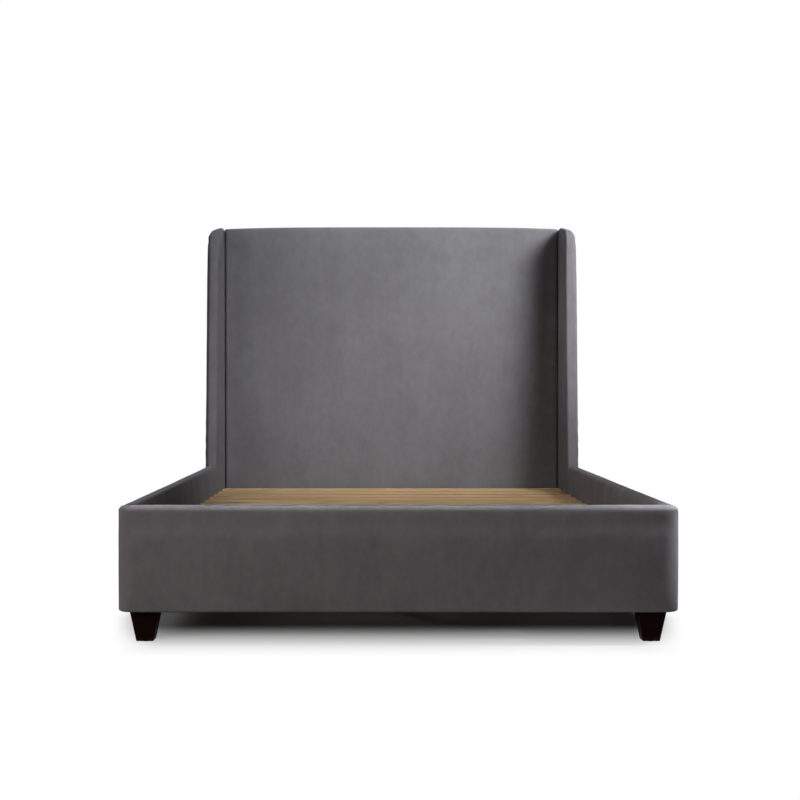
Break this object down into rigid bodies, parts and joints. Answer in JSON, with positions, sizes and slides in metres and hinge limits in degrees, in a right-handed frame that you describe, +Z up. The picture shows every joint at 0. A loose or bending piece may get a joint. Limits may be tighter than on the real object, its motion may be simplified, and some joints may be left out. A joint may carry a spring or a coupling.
{
  "type": "upholstered bed frame",
  "caption": "Bed frame with a tall padded wingback headboard, padded side rails and footboard, slats on a centre beam, and short tapered legs.",
  "frame": {"origin": "on the floor, at the middle of the bed's footprint", "axes": "+Y towards the headboard, +Z up, +X to the right as seen from the foot"},
  "size_m": [1.65, 2.22, 1.5],
  "materials": {
    "velvet": "short-pile velvet, soft sheen",
    "back_cloth": "matt non-woven",
    "foam": "open-cell, matt",
    "pine": "planed, unfinished",
    "plywood": "sanded, unfinished",
    "espresso_wood": "dark stain, satin lacquer",
    "zinc_steel": "zinc plated",
    "black_steel": "powder coated, satin",
    "black_plastic": "moulded, matt"
  },
  "bodies": {
    "root": {"headboard_stile_left": "pine", "headboard_stile_right": "pine", "headboard_top_bar": "pine", "headboard_middle_bar": "pine", "headboard_bottom_bar": "pine", "corner_block_left": "pine", "corner_block_right": "pine", "rail_cleat_left": "pine", "rail_cleat_right": "pine", "wing_cleat_left": "pine", "wing_cleat_right": "pine", "centre_beam": "pine", "support_posts": "pine", "slats": "pine", "headboard_board": "plywood", "wing_board_left": "plywood", "wing_board_right": "plywood", "footboard_board": "plywood", "rail_board_left": "plywood", "rail_board_right": "plywood", "headboard_foam": "foam", "wing_foam_left": "foam", "wing_foam_right": "foam", "footboard_foam": "foam", "rail_foam_left": "foam", "rail_foam_right": "foam", "headboard_cover": "velvet", "wing_cover_left": "velvet", "wing_cover_right": "velvet", "footboard_cover": "velvet", "rail_cover_left": "velvet", "rail_cover_right": "velvet", "headboard_back_cloth": "back_cloth", "frame_screws": "zinc_steel", "wing_bolts": "zinc_steel", "corner_bolts": "zinc_steel", "cleat_screws": "zinc_steel", "plate_bolts": "zinc_steel", "slat_screws": "zinc_steel", "hanger_screws": "zinc_steel", "post_bolts": "zinc_steel", "foot_inserts": "zinc_steel", "leg_bolts": "zinc_steel", "beam_hanger_foot": "zinc_steel", "beam_hanger_head": "zinc_steel", "rail_plate_left": "black_steel", "rail_plate_right": "black_steel", "leg_glides": "black_plastic", "leg_front_left": "espresso_wood", "leg_front_right": "espresso_wood", "leg_back_left": "espresso_wood", "leg_back_right": "espresso_wood"},
    "foot_1": {"levelling_foot_1": "black_plastic"},
    "foot_2": {"levelling_foot_2": "black_plastic"},
    "foot_3": {"levelling_foot_3": "black_plastic"}
  },
  "joints": [
    {"name": "foot_1_screw", "type": "slide", "parent": "root", "child": "foot_1", "axis": [0, 0, 1], "range_m": [-0.006, 0.012]},
    {"name": "foot_2_screw", "type": "slide", "parent": "root", "child": "foot_2", "axis": [0, 0, 1], "range_m": [-0.006, 0.012]},
    {"name": "foot_3_screw", "type": "slide", "parent": "root", "child": "foot_3", "axis": [0, 0, 1], "range_m": [-0.006, 0.012]}
  ]
}
